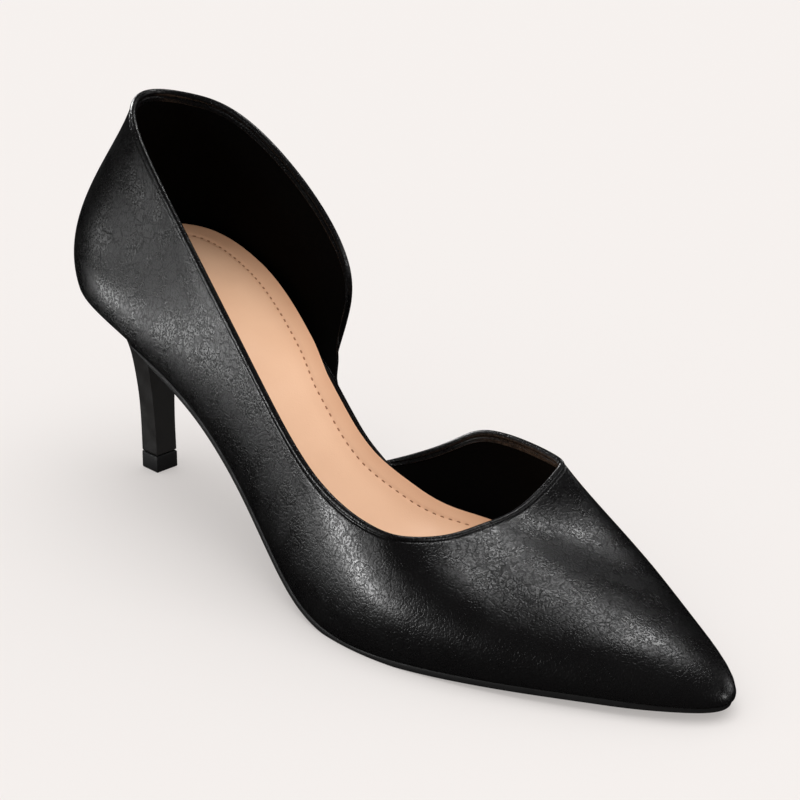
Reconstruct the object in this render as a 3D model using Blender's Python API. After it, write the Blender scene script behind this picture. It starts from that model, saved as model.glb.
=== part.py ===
"""Half d'Orsay pump for the right foot: pointed toe, slim covered heel, bare inside waist.

The floor is z = 0. The toe points to -Y, the inside of the foot to +X and its outside to -X.
"Along" runs from the back of the heel to the toe, and "across" from the outside to the inside.
"""

import math

import bpy
import numpy as np

MM = 0.001

# Driving dimensions, in metres
LENGTH = 243 * MM  # back of the seat to the tip of the toe, along the floor
BALL_WIDTH = 79 * MM  # widest place, over the leather
HEEL_HEIGHT = 68 * MM  # floor to the upper's lower edge, at the back
COLLAR_HEIGHT = 127 * MM  # floor to the top of the back
WALL = 1.8 * MM  # leather and lining together
BOARD = 4.6 * MM  # insole board with its wrapping
SOCK = 1.5 * MM
OUTSOLE = 2.2 * MM
GAP = 0.3 * MM  # between pieces that touch

# The upper, one row per section round the shoe, from the quarter's front corner on the inside to the vamp's.
# along, across: foot of the wall. top_along, top_across, top_height: its top edge.
# They are percent of LENGTH, of half of BALL_WIDTH and of COLLAR_HEIGHT.
# lean: degrees from upright at the foot. slope: degrees of fall at the top edge.
# foot_reach, top_reach: millimetres over which the wall keeps those two directions.
WALL_COLUMNS = (
    "along", "across", "top_along", "top_across", "top_height", "lean", "foot_reach", "slope", "top_reach",
)
WALL_ROWS = {
    "quarter_tip": (35.4, 36.5, 35.2, 39.5, 32.5, 20, 1, 80, 1),
    "quarter_curl": (33.1, 39.7, 32.4, 50.6, 39.4, 25, 3.5, 80, 2.5),
    "quarter_front": (30.7, 43.8, 32.1, 62.8, 48.4, 14, 8, 86, 7),
    "inner_waist": (27.5, 49.6, 31.5, 70.9, 61.4, 12, 12.7, 88, 12),
    "inner_seat": (12.6, 70.9, 17.5, 55.2, 91.2, 12.5, 16, 84.5, 16),
    "inner_back": (3.4, 57.7, 9.3, 32.9, 98, 18.5, 23.5, 71, 17.5),
    "back": (0, 0, 6.8, 0, 100, 18, 26, 70, 19.5),
    "outer_back": (2.9, -55.7, 9.7, -31.6, 99.2, 17.5, 23.5, 73, 16.7),
    "outer_seat": (12.5, -74.9, 14.8, -51.6, 93.7, 14.6, 19.4, 81, 15.3),
    "outer_breast": (23.9, -75.7, 24.7, -67.8, 79.9, 13.2, 14.7, 87.5, 13.4),
    "outer_waist": (37.2, -78.7, 38.9, -79, 55.3, 12.9, 12.3, 87.5, 12),
    "outer_joint": (50.4, -94.7, 51, -84.8, 35.4, 12, 11.8, 76.8, 12.1),
    "outer_ball": (63.5, -99.7, 59.9, -79.5, 28.1, 11.4, 12.8, 59, 15.1),
    "outer_fore": (77.6, -75.4, 64, -63.3, 26.4, 12.5, 13.3, 38.6, 21.4),
    "outer_toe": (89.1, -40.5, 65.2, -32.7, 24.6, 13.5, 11.9, 26, 28.5),
    "toe": (99.9, 16.5, 66, 0, 24.6, 12.9, 10, 22, 30.7),
    "inner_toe": (90.6, 65.8, 65.9, 39.2, 24.8, 13, 12.5, 28, 27),
    "inner_fore": (79.3, 93.7, 65.1, 81.6, 28.3, 13.7, 15.5, 41.5, 20),
    "inner_ball": (67.6, 103.8, 62.6, 94.4, 30.1, 15.8, 15.4, 61, 13.5),
    "inner_joint": (55.1, 85.8, 51.9, 96.2, 29.1, 21, 15.4, 77, 8.5),
    "vamp_side": (51.2, 67.3, 48.4, 86.1, 26, 30, 11, 80, 6),
    "vamp_curl": (46.9, 46.8, 45.7, 67.1, 22.8, 35, 6.5, 76, 4),
    "vamp_tip": (42.4, 34.9, 41.8, 38, 19.7, 20, 1, 80, 1),
}
BARE_WAIST = (39.5, 33.4)  # along and across of the board's edge, midway between the upper's two tips

# Lower edge of the upper: percent of LENGTH, percent of HEEL_HEIGHT
SIDE_PROFILE = (
    (0, 100), (10, 93), (20, 83.8), (30, 68.6), (40, 40.2),
    (50, 11.3), (58, 3.5), (66, 3.6), (84, 6.8), (100, 7.6),
)
WAIST_TWIST = 0.11  # the inside of the waist stands this much higher, per unit across
TWIST_AT = 34.6  # percent of LENGTH
TWIST_LENGTH = 14.8  # percent of LENGTH

# Covered heel: height, its front and back face along the shoe, and half the width at each, all in millimetres
HEEL_COLUMNS = ("height", "front", "back", "front_half", "back_half")
HEEL_ROWS = (
    (6.0, 20.2, 12.2, 4.1, 4.1),
    (15.0, 19.9, 12.0, 4.1, 4.1),
    (25.0, 19.5, 11.8, 4.5, 4.5),
    (35.0, 19.2, 11.5, 5.4, 5.7),
    (43.0, 19.4, 11.2, 6.8, 7.4),
    (49.0, 21.3, 11.0, 9.0, 10.0),
    (53.5, 25.5, 10.6, 12.5, 13.0),
    (56.5, 30.5, 10.0, 16.0, 16.0),
)
HEEL_CORNER = 1.0 * MM  # radius of the two back edges
BREAST = 41 * MM  # front of the heel under the seat, from the back
SEAT_INSET = 0.8 * MM
TOP_PIECE_HEIGHT = 6 * MM
TOP_PIECE_LIP = 0.4 * MM  # it stands out from the heel's tip by this much

BOARD_END = 224 * MM  # along the shoe, inside the toe
SOCK_END = 204 * MM
SOCK_MARGIN = 2.6 * MM  # black edge left bare beside the sock at the waist
SOCK_DISH = 1.6 * MM  # the sock's edges ride up by this much
BOARD_ROUND = 1.5 * MM  # how far the board's bare edge is rounded off
HEADROOM = 1.2 * MM  # kept free above the board and the sock where the toe comes down to them
WAIST_BLEND = 1.0  # share of a section step over which a plate's edge goes from the wall to the bare waist

# How finely the surfaces are cut up
WALL_SECTIONS, WALL_HEIGHTS = 116, 11
OUTLINE_POINTS = 900
PLATE_STATIONS, PLATE_ACROSS = 44, 9
OUTSOLE_STATIONS, OUTSOLE_ACROSS = 60, 7
HEEL_SIDE_POINTS, HEEL_CORNER_POINTS, BREAST_POINTS = 8, 4, 7
SEAT_SHRINKS = (1.0, 0.72, 0.4, 0.12)  # rings that close the heel under the seat
NUDGE = 1e-4  # step of the central differences


def cubic_spline(knots, values, closed):
    """A function for the cubic spline through values: periodic if closed, otherwise with straight ends."""
    knots = np.asarray(knots, float)
    values = np.asarray(values, float).reshape(len(knots), -1)
    steps = np.diff(knots)
    slopes = np.diff(values, axis=0) / steps[:, None]
    count = len(steps) if closed else len(knots)
    matrix = np.eye(count)
    right = np.zeros((count, values.shape[1]))
    for i in range(0 if closed else 1, len(steps)):
        matrix[i] = 0
        matrix[i, i - 1] += steps[i - 1]
        matrix[i, i] += 2 * (steps[i - 1] + steps[i])
        matrix[i, (i + 1) % count] += steps[i]
        right[i] = 6 * (slopes[i] - slopes[i - 1])
    bends = np.linalg.solve(matrix, right)
    if closed:
        bends = np.vstack([bends, bends[:1]])

    def at(places):
        places = np.asarray(places, float)
        if closed:
            places = knots[0] + np.mod(places - knots[0], knots[-1] - knots[0])
        i = np.clip(np.searchsorted(knots, places, side="right") - 1, 0, len(steps) - 1)
        step = steps[i][:, None]
        before = ((places - knots[i])[:, None]) / step
        after = 1 - before
        line = after * values[i] + before * values[i + 1]
        bend = (after**3 - after) * bends[i] + (before**3 - before) * bends[i + 1]
        return line + bend * step**2 / 6

    return at


def column(name):
    return np.array([row[WALL_COLUMNS.index(name)] for row in WALL_ROWS.values()], float)


FOOT_PLACES = np.column_stack([
    np.append(column("along"), BARE_WAIST[0]) * LENGTH / 100,
    np.append(column("across"), BARE_WAIST[1]) * BALL_WIDTH / 200,
])
# A section's place round the shoe grows with the square root of the distance, which keeps the toe's curve tight.
FOOT_STEPS = np.sqrt(np.linalg.norm(np.diff(np.vstack([FOOT_PLACES, FOOT_PLACES[:1]]), axis=0), axis=1))
ROUND = np.concatenate([[0], np.cumsum(FOOT_STEPS)])
FOOT_CURVE = cubic_spline(ROUND, np.vstack([FOOT_PLACES, FOOT_PLACES[:1]]), closed=True)
WALL_START = ROUND[0]
WALL_END = ROUND[-3]
TOP_CURVE = cubic_spline(ROUND[:-2], np.column_stack([
    column("top_along") * LENGTH / 100,
    column("top_across") * BALL_WIDTH / 200,
    column("top_height") * COLLAR_HEIGHT / 100,
    np.radians(column("lean")),
    column("foot_reach") * MM,
    np.radians(column("slope")),
    column("top_reach") * MM,
]), closed=False)
PROFILE = cubic_spline(
    [place * LENGTH / 100 for place, _ in SIDE_PROFILE],
    [height * HEEL_HEIGHT / 100 for _, height in SIDE_PROFILE],
    closed=False,
)


def edge_height(along, across):
    """Height of the upper's lower edge, and of the surface through it."""
    along = np.asarray(along, float)
    level = PROFILE(np.clip(along, 0, LENGTH).ravel())[:, 0].reshape(along.shape)
    away = (along / LENGTH * 100 - TWIST_AT) / TWIST_LENGTH
    return level + WAIST_TWIST * across * np.exp(-away**2)


def upright(along):
    """Vertical depth of one unit of thickness where the foot's surface slopes."""
    step = 0.5 * MM
    rise = edge_height(along + step, 0 * along) - edge_height(along - step, 0 * along)
    return np.hypot(1, rise / (2 * step))


def foot_line(places):
    """Points (along, across, height) on the upper's lower edge, and the outward directions there."""
    plan = FOOT_CURVE(places)
    run = FOOT_CURVE(places + NUDGE) - FOOT_CURVE(places - NUDGE)
    outward = np.column_stack([run[:, 1], -run[:, 0]])
    outward /= np.linalg.norm(outward, axis=1)[:, None]
    return np.column_stack([plan, edge_height(plan[:, 0], plan[:, 1])]), outward


def wall_surface(places, heights):
    """The upper's outside: a Bezier curve at each place, from the foot (height 0) to the top edge (height 1)."""
    foot, outward = foot_line(places)
    section = TOP_CURVE(places)
    top = section[:, :3]
    lean, foot_reach, slope, top_reach = section[:, 3:].T[:, :, None]
    # The last 12 mm make the direction steady where the top edge stands straight over the foot.
    fall = foot[:, :2] - top[:, :2] + 12 * MM * outward
    fall /= np.linalg.norm(fall, axis=1)[:, None]
    low = foot + foot_reach * np.hstack([outward * np.sin(lean), np.cos(lean)])
    high = top + top_reach * np.hstack([fall * np.cos(slope), -np.sin(slope)])
    up = np.asarray(heights)[None, :, None]
    down = 1 - up
    return (
        down**3 * foot[:, None] + 3 * down**2 * up * low[:, None]
        + 3 * down * up**2 * high[:, None] + up**3 * top[:, None]
    )


def wall_normals(places, heights):
    """Outward unit normals of the wall surface."""
    heights = np.clip(heights, NUDGE, 1 - NUDGE)
    round_shoe = wall_surface(places + NUDGE, heights) - wall_surface(places - NUDGE, heights)
    upwards = wall_surface(places, heights + NUDGE) - wall_surface(places, heights - NUDGE)
    normals = np.cross(round_shoe, upwards)
    return normals / np.linalg.norm(normals, axis=2)[..., None]


def inside_room(places, depth):
    """Distance in from the foot line at which the upper's inside is clear of a piece as deep as this."""
    heights = np.linspace(0, 1, 40)
    inner = wall_surface(places, heights) - WALL * wall_normals(places, heights)
    foot, outward = foot_line(places)
    inward = -((inner[..., :2] - foot[:, None, :2]) * outward[:, None]).sum(axis=2)
    low = inner[..., 2] - foot[:, None, 2] < depth[:, None]
    return np.where(low, inward, 0).max(axis=1) + GAP


def smooth(value):
    value = np.clip(value, 0, 1)
    return value * value * (3 - 2 * value)


def fitted_outline(depth, bare_inset, front, stations):
    """Plan ladder of a piece inside the upper as far as front: clear of the wall, bare_inset in at the waist."""
    places = np.linspace(ROUND[0], ROUND[-1], OUTLINE_POINTS, endpoint=False)
    foot, outward = foot_line(places)
    bare = places > WALL_END
    past, short = (places - WALL_END) / WAIST_BLEND, (ROUND[-1] - places) / WAIST_BLEND
    walled = np.where(bare, np.maximum(smooth(1 - past), smooth(1 - short)), 1)
    within = np.where(bare, np.where(short < past, WALL_START, WALL_END), places)
    room = inside_room(within, depth * upright(foot[:, 0]) + HEADROOM)
    # A running maximum keeps the outline from following small steps in the room.
    reach = 6
    room = np.max([np.roll(room, shift) for shift in range(-reach, reach + 1)], axis=0)
    room = np.mean([np.roll(room, shift) for shift in range(-reach, reach + 1)], axis=0)
    inset = walled * room + (1 - walled) * bare_inset
    outline = foot[:, :2] - inset[:, None] * outward
    return ladder(outline, front, stations)


def ladder(outline, front, stations):
    """Outer and inner edge of a closed plan outline as far as front, at stations that crowd towards the ends."""
    back = np.argmin(outline[:, 0])
    turned = np.roll(outline, -back, axis=0)
    tip = np.argmax(turned[:, 0])
    first = turned[: tip + 1]
    second = np.vstack([turned[tip:], turned[:1]])[::-1]
    end = 0.35
    turn = math.pi * (np.arange(stations) + end) / (stations - 1 + 2 * end)
    last = min(turned[tip, 0], front)
    along = turned[0, 0] + (last - turned[0, 0]) * (0.5 - 0.5 * np.cos(turn))
    sides = [np.interp(along, *np.maximum.accumulate(side[:, :1]).T, side[:, 1]) for side in (first, second)]
    low, high = np.minimum(*sides), np.maximum(*sides)
    return along, low, high


def rim(along, reach):
    """0 in the middle of a plate, 1 along its whole edge."""
    ends = (2 * along - along.min() - along.max()) / (along.max() - along.min())
    return np.maximum(reach**4, ends**24)


def plate(along, low, high, across_count, bottom, top):
    """A closed plate: its plan is the ladder, and bottom and top give heights from (along, across, reach)."""
    reach = np.linspace(-1, 1, across_count)
    across = (low + high)[:, None] / 2 + (high - low)[:, None] / 2 * reach
    along = np.repeat(along[:, None], across_count, axis=1)
    reach = np.repeat(reach[None], len(along), axis=0)
    layers = [np.stack([along, across, side(along, across, reach)], axis=-1) for side in (bottom, top)]
    return closed_grid(*layers)


def closed_grid(first, second):
    """Vertices and faces of the closed solid between two grids of the same shape."""
    rows, columns = first.shape[:2]
    index = np.arange(rows * columns).reshape(rows, columns)
    border = np.concatenate([index[:-1, 0], index[-1, :-1], index[:0:-1, -1], index[0, :0:-1]])
    quads = np.stack([index[:-1, :-1], index[1:, :-1], index[1:, 1:], index[:-1, 1:]], axis=-1).reshape(-1, 4)
    after = np.roll(border, -1)
    size = rows * columns
    sides = np.stack([border, border + size, after + size, after], axis=-1)
    faces = np.concatenate([quads, quads[:, ::-1] + size, sides])
    return np.concatenate([first.reshape(-1, 3), second.reshape(-1, 3)]), faces.tolist()


def upper():
    """One hollow shell, round the heel and over the toe, open at the collar, the inside waist and underneath."""
    places = np.linspace(WALL_START, WALL_END, WALL_SECTIONS)
    heights = np.linspace(0, 1, WALL_HEIGHTS)
    outer = wall_surface(places, heights)
    return closed_grid(outer - WALL * wall_normals(places, heights), outer)


def board():
    """The insole board with its black wrapping, rounded along its top edge."""
    outline = fitted_outline(BOARD, 0.0, BOARD_END, PLATE_STATIONS)

    def top(along, across, reach):
        rounded = BOARD_ROUND * rim(along, reach) ** 3  # the power keeps the rounding at the edge
        return edge_height(along, across) + BOARD * upright(along) - rounded

    return plate(*outline, PLATE_ACROSS, lambda along, across, reach: edge_height(along, across), top)


def sock():
    """The sock's sheet, a little dished so that its edges ride up."""
    outline = fitted_outline(BOARD + GAP + SOCK + SOCK_DISH, SOCK_MARGIN, SOCK_END, PLATE_STATIONS)

    def under(along, across, reach):
        lift = SOCK_DISH * rim(along, reach)
        return edge_height(along, across) + (BOARD + GAP) * upright(along) + lift

    def over(along, across, reach):
        return under(along, across, reach) + SOCK * upright(along)

    return plate(*outline, PLATE_ACROSS, under, over)


def outsole():
    """The thin sole from the heel's breast to the toe, flat where it stands on the floor."""
    foot, _ = foot_line(np.linspace(ROUND[0], ROUND[-1], OUTLINE_POINTS, endpoint=False))
    along, low, high = ladder(foot[:, :2], LENGTH, OUTSOLE_STATIONS)
    kept = along > BREAST + GAP
    start = np.array([BREAST + GAP])
    low = np.concatenate([np.interp(start, along, low), low[kept]])
    high = np.concatenate([np.interp(start, along, high), high[kept]])
    along = np.concatenate([start, along[kept]])

    def top(along, across, reach):
        return edge_height(along, across) - GAP

    def bottom(along, across, reach):
        return np.maximum(top(along, across, reach) - OUTSOLE * upright(along), 0)

    return plate(along, low, high, OUTSOLE_ACROSS, bottom, top)


def rounded_u(front, back, front_half, back_half, side_points):
    """Points of a heel section: down the outside, round the back's two corners and up the inside."""
    corner = HEEL_CORNER
    outside = np.linspace([front, -front_half], [back + corner, -back_half], side_points, endpoint=False)
    turn = np.linspace(0, math.pi / 2, HEEL_CORNER_POINTS)
    first = np.column_stack([
        back + corner - corner * np.sin(turn), -back_half + corner - corner * np.cos(turn)
    ])
    middle = np.array([[back, 0.0]])
    half = np.vstack([outside, first, middle])
    mirrored = half[:-1][::-1] * (1, -1)
    return np.vstack([half, mirrored])


def heel():
    """Lofted from the seat's outline down to the tip, with a flat breast."""
    rings = []
    for row in HEEL_ROWS:
        height, front, back, front_half, back_half = (value * MM for value in row)
        curve = rounded_u(front, back, front_half, back_half, HEEL_SIDE_POINTS)
        breast = np.linspace(curve[-1], curve[0], BREAST_POINTS)[1:-1]
        plan = np.vstack([curve, breast])
        rings.append(np.column_stack([plan, np.full(len(plan), height)]))
    # The seat's ring follows the foot line from the breast's outer end round the back to its inner end.
    places = np.linspace(ROUND[0], ROUND[-1], OUTLINE_POINTS)
    foot, outward = foot_line(places)
    edge = foot[:, :2] - SEAT_INSET * outward
    seat = edge[(edge[:, 0] < BREAST) & (places < ROUND[len(WALL_ROWS) // 2])]
    if seat[0, 1] > 0:
        seat = seat[::-1]
    steps = np.concatenate([[0], np.cumsum(np.linalg.norm(np.diff(seat, axis=0), axis=1))])
    spread = np.linspace(0, steps[-1], len(rings[0]) - BREAST_POINTS + 2)
    curve = np.column_stack([np.interp(spread, steps, seat[:, 0]), np.interp(spread, steps, seat[:, 1])])
    breast = np.linspace(curve[-1], curve[0], BREAST_POINTS)[1:-1]
    plan = np.vstack([curve, breast])
    centre = plan.mean(axis=0)
    for scale in SEAT_SHRINKS:
        inner = centre + scale * (plan - centre)
        rings.append(np.column_stack([inner, edge_height(inner[:, 0], inner[:, 1]) - GAP]))
    return loft(rings)


def top_piece():
    """The block under the heel's tip."""
    _, front, back, front_half, back_half = (value * MM for value in HEEL_ROWS[0])
    lip = TOP_PIECE_LIP
    curve = rounded_u(front + lip, back - lip, front_half + lip, back_half + lip, 3)
    return loft([
        np.column_stack([curve, np.full(len(curve), height)]) for height in (0, TOP_PIECE_HEIGHT - GAP)
    ])


def loft(rings):
    """A closed solid through rings of equally many points."""
    count = len(rings[0])
    ring = np.arange(count)
    faces = []
    for level in range(len(rings) - 1):
        low = level * count + ring
        faces += np.stack([low, np.roll(low, -1), np.roll(low, -1) + count, low + count], axis=-1).tolist()
    faces.append(ring[::-1].tolist())
    faces.append(((len(rings) - 1) * count + ring).tolist())
    return np.concatenate(rings), faces


def leather(name, colour, roughness):
    material = bpy.data.materials.new(name)
    material.use_nodes = True
    shader = material.node_tree.nodes["Principled BSDF"]
    shader.inputs["Base Color"].default_value = (*colour, 1)
    shader.inputs["Roughness"].default_value = roughness
    shader.inputs["Metallic"].default_value = 0
    return material


def outward_facing(points, faces):
    """The faces, turned round if they look inwards."""
    volume = 0.0
    for face in faces:
        for second, third in zip(face[1:-1], face[2:]):
            volume += np.dot(points[face[0]], np.cross(points[second], points[third]))
    return faces if volume > 0 else [face[::-1] for face in faces]


def add_object(name, points, faces, material, sharp_degrees):
    mesh = bpy.data.meshes.new(name)
    mesh.from_pydata(points.tolist(), [], outward_facing(points, faces))
    mesh.shade_smooth()
    mesh.set_sharp_from_angle(angle=math.radians(sharp_degrees))
    mesh.materials.append(material)
    bpy.context.scene.collection.objects.link(bpy.data.objects.new(name, mesh))


def main():
    for thing in list(bpy.data.objects):
        bpy.data.objects.remove(thing)
    black = (0.012, 0.012, 0.013)
    pieces = {
        "upper": (upper(), leather("black_leather", black, 0.38)),
        "insole_board": (board(), leather("wrapping", black, 0.4)),
        "sock": (sock(), leather("nude_leather", (0.80, 0.52, 0.36), 0.5)),
        "outsole": (outsole(), leather("sole", black, 0.55)),
        "heel": (heel(), leather("heel_cover", black, 0.36)),
        "top_piece": (top_piece(), leather("top_piece", (0.015, 0.015, 0.016), 0.6)),
    }
    shell = pieces["upper"][0][0]
    middle = (shell.min(axis=0) + shell.max(axis=0)) / 2
    for name, ((points, faces), material) in pieces.items():
        placed = np.column_stack([points[:, 1] - middle[1], middle[0] - points[:, 0], points[:, 2]])
        add_object(name, placed, faces, material, 35)


main()
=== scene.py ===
"""Half d'Orsay pump for the right foot: black leather, bare inside waist, covered heel, nude sock.

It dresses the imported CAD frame. A point of the last is given as along (from the back of the seat to the toe),
across (from the outside of the foot to its inside) and up (from the floor), all in metres.
"""

import math

import bpy
import numpy as np
from bpy.props import FloatProperty, FloatVectorProperty, PointerProperty
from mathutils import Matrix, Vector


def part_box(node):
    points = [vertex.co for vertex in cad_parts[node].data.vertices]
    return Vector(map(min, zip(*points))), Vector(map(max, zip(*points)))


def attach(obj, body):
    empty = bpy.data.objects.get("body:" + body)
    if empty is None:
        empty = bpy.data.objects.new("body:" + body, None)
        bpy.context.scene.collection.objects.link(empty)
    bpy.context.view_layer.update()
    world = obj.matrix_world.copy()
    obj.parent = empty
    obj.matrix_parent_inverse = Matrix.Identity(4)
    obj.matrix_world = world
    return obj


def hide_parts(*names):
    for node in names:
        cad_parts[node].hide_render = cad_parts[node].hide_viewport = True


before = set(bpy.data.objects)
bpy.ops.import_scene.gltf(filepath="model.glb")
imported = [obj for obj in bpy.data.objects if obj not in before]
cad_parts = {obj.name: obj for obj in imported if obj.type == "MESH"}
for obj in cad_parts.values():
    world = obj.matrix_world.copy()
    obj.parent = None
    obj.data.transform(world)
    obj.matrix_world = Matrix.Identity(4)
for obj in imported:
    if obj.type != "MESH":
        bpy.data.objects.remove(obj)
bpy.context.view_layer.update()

bl_info = {
    "name": "Half d'Orsay pump",
    "version": (1, 0, 0),
    "blender": (4, 5, 0),
    "location": "3D View > Sidebar > Pump",
    "description": "Builds a half d'Orsay pump on its CAD frame",
    "category": "Add Mesh",
}

MM = 0.001

# The upper, one row per section round the shoe, from the quarter's front corner on the inside to the vamp's.
# along, across: foot of the wall. top_along, top_across, top_height: its top edge.
# They are percent of the length, of half of the ball width and of the collar height.
# lean: degrees from upright at the foot. slope: degrees of fall at the top edge.
# foot_reach, top_reach: millimetres over which the wall keeps those two directions.
WALL_COLUMNS = (
    "along", "across", "top_along", "top_across", "top_height", "lean", "foot_reach", "slope", "top_reach",
)
WALL_ROWS = {
    "quarter_tip": (35.4, 36.5, 35.2, 39.5, 32.5, 20, 1, 80, 1),
    "quarter_curl": (33.1, 39.7, 32.4, 50.6, 39.4, 25, 3.5, 80, 2.5),
    "quarter_front": (30.7, 43.8, 32.1, 62.8, 48.4, 14, 8, 86, 7),
    "inner_waist": (27.5, 49.6, 31.5, 70.9, 61.4, 12, 12.7, 88, 12),
    "inner_seat": (12.6, 70.9, 17.5, 55.2, 91.2, 12.5, 16, 84.5, 16),
    "inner_back": (3.4, 57.7, 9.3, 32.9, 98, 18.5, 23.5, 71, 17.5),
    "back": (0, 0, 6.8, 0, 100, 18, 26, 70, 19.5),
    "outer_back": (2.9, -55.7, 9.7, -31.6, 99.2, 17.5, 23.5, 73, 16.7),
    "outer_seat": (12.5, -74.9, 14.8, -51.6, 93.7, 14.6, 19.4, 81, 15.3),
    "outer_breast": (23.9, -75.7, 24.7, -67.8, 79.9, 13.2, 14.7, 87.5, 13.4),
    "outer_waist": (37.2, -78.7, 38.9, -79, 55.3, 12.9, 12.3, 87.5, 12),
    "outer_joint": (50.4, -94.7, 51, -84.8, 35.4, 12, 11.8, 76.8, 12.1),
    "outer_ball": (63.5, -99.7, 59.9, -79.5, 28.1, 11.4, 12.8, 59, 15.1),
    "outer_fore": (77.6, -75.4, 64, -63.3, 26.4, 12.5, 13.3, 38.6, 21.4),
    "outer_toe": (89.1, -40.5, 65.2, -32.7, 24.6, 13.5, 11.9, 26, 28.5),
    "toe": (99.9, 16.5, 66, 0, 24.6, 12.9, 10, 22, 30.7),
    "inner_toe": (90.6, 65.8, 65.9, 39.2, 24.8, 13, 12.5, 28, 27),
    "inner_fore": (79.3, 93.7, 65.1, 81.6, 28.3, 13.7, 15.5, 41.5, 20),
    "inner_ball": (67.6, 103.8, 62.6, 94.4, 30.1, 15.8, 15.4, 61, 13.5),
    "inner_joint": (55.1, 85.8, 51.9, 96.2, 29.1, 21, 15.4, 77, 8.5),
    "vamp_side": (51.2, 67.3, 48.4, 86.1, 26, 30, 11, 80, 6),
    "vamp_curl": (46.9, 46.8, 45.7, 67.1, 22.8, 35, 6.5, 76, 4),
    "vamp_tip": (42.4, 34.9, 41.8, 38, 19.7, 20, 1, 80, 1),
}
BARE_WAIST = (39.5, 33.4)  # along and across of the insole's edge, midway between the upper's two tips

# Lower edge of the upper: percent of the length, percent of the heel height
SIDE_PROFILE = (
    (0, 100), (10, 93), (20, 83.8), (30, 68.6), (40, 40.2),
    (50, 11.3), (58, 3.5), (66, 3.6), (84, 6.8), (100, 7.6),
)
WAIST_TWIST = 0.11  # the inside of the waist stands this much higher, per unit across
TWIST_AT = 34.6  # percent of the length
TWIST_LENGTH = 14.8  # percent of the length

# Along the bare inside waist the board stands this much further out, and the sock this much further in
BARE_BOARD_OUT = 1.2 * MM
BARE_SOCK_IN = 1.3 * MM

# Where the board and the sock end under the vamp, as shares of the length
BOARD_END = 0.922
SOCK_END = 0.84

# Covered heel: height, its front and back face along the shoe, and half the width at each, all in millimetres
HEEL_ROWS = (
    (6.0, 20.2, 12.2, 4.1, 4.1),
    (15.0, 19.9, 12.0, 4.1, 4.1),
    (25.0, 19.5, 11.8, 4.5, 4.5),
    (35.0, 19.2, 11.5, 5.4, 5.7),
    (43.0, 19.4, 11.2, 6.8, 7.4),
    (49.0, 21.3, 11.0, 9.0, 10.0),
    (53.5, 25.5, 10.6, 12.5, 13.0),
    (56.5, 30.5, 10.0, 16.0, 16.0),
)

# Top piece: height of each section, and how much further out it stands than the heel's tip, in millimetres
TOP_PIECE_ROWS = (
    (0, -0.15), (0.15, 0.05), (0.4, 0.12), (2.8, 0.12), (5.3, 0.12), (5.55, 0.02), (5.7, -0.14),
)

# Soft panels that only the gloss picks up: place in the scene, width and height, all in metres, and watts
PANELS = (
    ((0.68, 0.12, 0.76), (0.11, 0.11), 0.95),
    ((0.52, 0.14, 0.88), (0.14, 0.14), 0.75),
    ((-0.9, 0.37, 0.2), (0.22, 0.22), 4.4),
    ((-0.769, 0.311, 0.599), (0.2, 0.2), 1.6),
    ((-0.796, 0.6, 0.127), (0.2, 0.2), 0.6),
    ((0.2, 0.9, 0.5), (0.2, 0.2), 5.0),
    ((-0.31, 0.5, 0.06), (0.12, 0.1), 0.1),
    ((-0.16, 0.2, 0.014), (0.14, 0.024), 0.085),
    ((0.5, -0.8, 0.4), (0.3, 0.3), 1.2),
    ((0.95, -0.3, 0.25), (0.3, 0.3), 0.6),
)
LIT_POINT = (0, 0, 0.04)  # the lamps' beams run to here, in the middle of the shoe

# The photograph's viewpoint, turned to the one shoe: azimuth, elevation and roll in degrees
VIEW_ANGLES = (-45.69, 23.02, 0.955)
VIEWPOINT = (0.5323, -0.4162, 0.3046)  # along, across, up
LENS = 99.45  # millimetres
SENSOR = 36  # millimetres wide

NUDGE = 1e-4  # step of the central differences
SHARP_ANGLE = 38  # degrees between two faces, over which their edge is drawn sharp


def size(name, description, default):
    """A length in metres that a user may change."""
    return FloatProperty(
        name=name, description=description, default=default, min=0, precision=4, unit="LENGTH"
    )


def colour(name, description, default):
    """A linear colour that a user may change."""
    return FloatVectorProperty(
        name=name, description=description, default=default, size=3, min=0, max=1, subtype="COLOR"
    )


class PumpSizes(bpy.types.PropertyGroup):
    """Sizes of the pump."""

    length: size("Length", "Back of the seat to the tip of the toe, along the floor", 0.243)
    ball_width: size("Ball width", "Widest place over the leather", 0.079)
    heel_height: size("Heel height", "Floor to the lower edge of the upper, at the back", 0.068)
    collar_height: size("Collar height", "Floor to the top of the back", 0.127)
    wall: size("Wall", "Leather and lining together", 0.0018)
    leather: size("Leather", "Outer leather alone", 0.001)
    edge_roll: size("Edge roll", "Radius of the piping along the top edge", 0.001)
    fold: size("Fold", "How far the edge's facing reaches down inside", 0.0034)
    board: size("Insole board", "Thickness of the wrapped board", 0.0046)
    sock: size("Sock", "Thickness of the sock", 0.0015)
    sock_margin: size("Sock margin", "Inset that the sock eases towards at the bare waist", 0.0026)
    sock_dish: size("Sock dish", "How far the sock's edges ride up", 0.0016)
    seat_pad: size("Seat pad", "How much thicker the insole is under the heel", 0.0026)
    outsole: size("Outsole", "Thickness of the outsole", 0.0022)
    sole_inset: size("Sole inset", "How far the sole stays in under the toe's edge", 0.0008)
    overhang: size("Overhang", "How far the leather hangs over the sole round the forefoot", 0.0008)
    gap: size("Gap", "Between pieces that touch", 0.0003)
    breast: size("Breast", "Front of the heel under the seat, from the back", 0.041)
    top_piece: size("Top piece", "Height of the block under the heel", 0.006)
    stitch_inset: size("Stitch inset", "Stitch line's distance from the sock's edge", 0.0056)
    stitch_pitch: size("Stitch pitch", "From one stitch to the next", 0.0026)
    stitch_length: size("Stitch length", "Length of the thread that shows", 0.0015)
    grain: size("Grain", "Distance between the curled lines of the leather's grain", 0.0009)


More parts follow.
